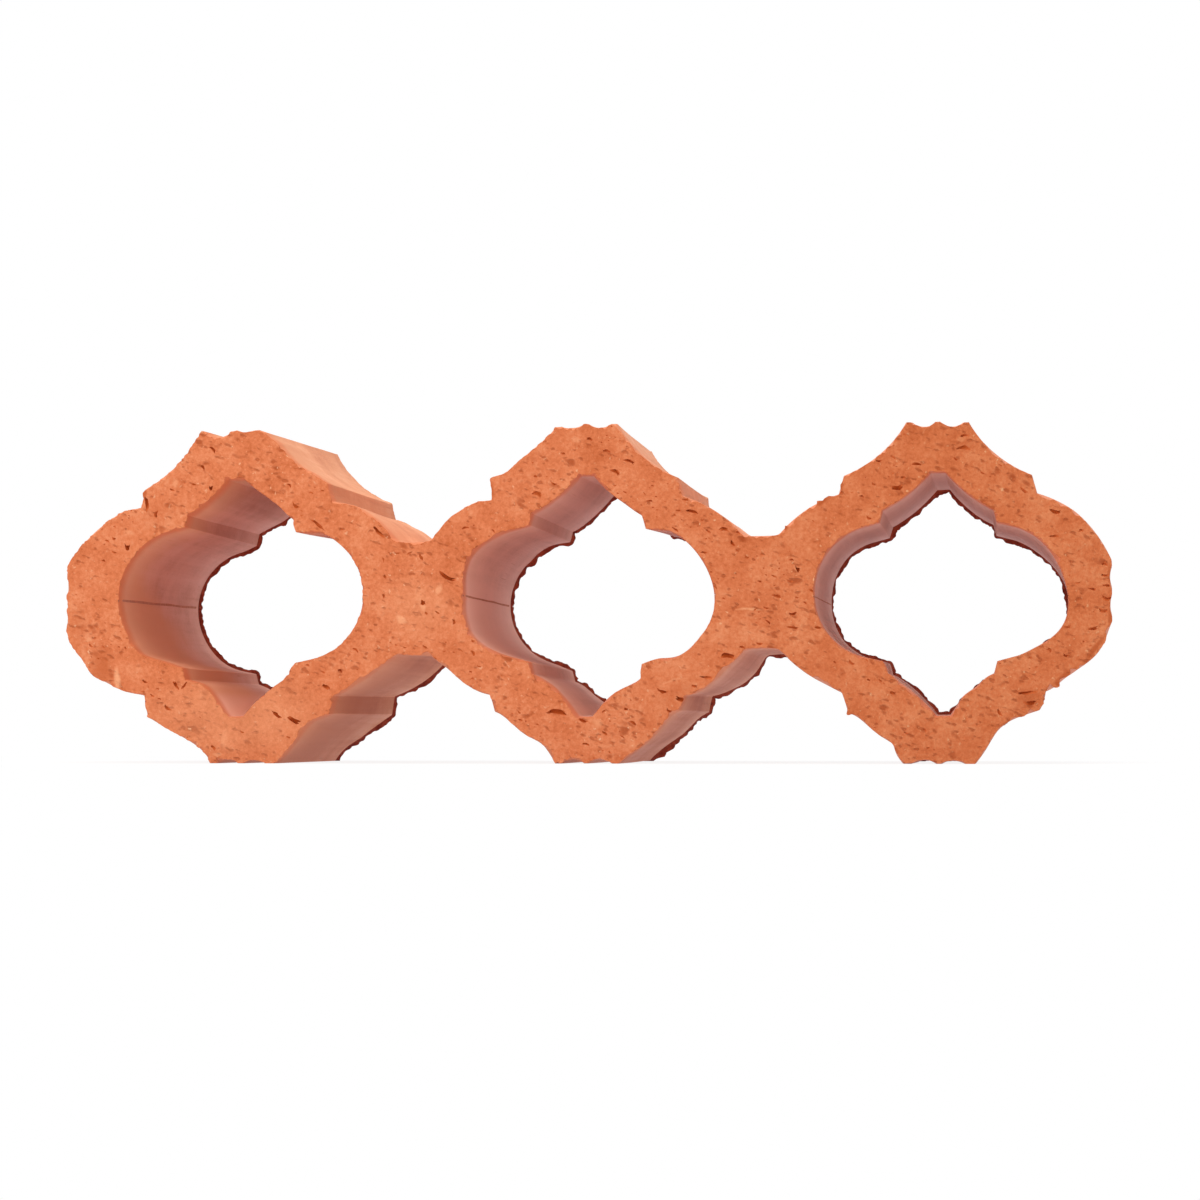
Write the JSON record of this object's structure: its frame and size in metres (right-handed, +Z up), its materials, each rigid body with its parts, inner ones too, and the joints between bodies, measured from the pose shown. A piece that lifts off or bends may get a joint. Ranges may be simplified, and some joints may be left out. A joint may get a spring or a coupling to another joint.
{
  "type": "breeze block",
  "caption": "Fired clay screen block: a row of four-lobed open cells joined by solid necks, laid in courses to make a wall that lets air and light through.",
  "frame": {"origin": "middle of the bottom bed, under the middle cell", "axes": "+X along the row of cells, +Y along the depth and into the wall, so the show face looks towards -Y, +Z up"},
  "size_m": [0.3, 0.1, 0.097],
  "materials": {
    "fired_clay": "matt, wire-cut faces with torn pits, smooth die-pushed sides"
  },
  "bodies": {
    "root": {"block": "fired_clay"}
  },
  "joints": []
}
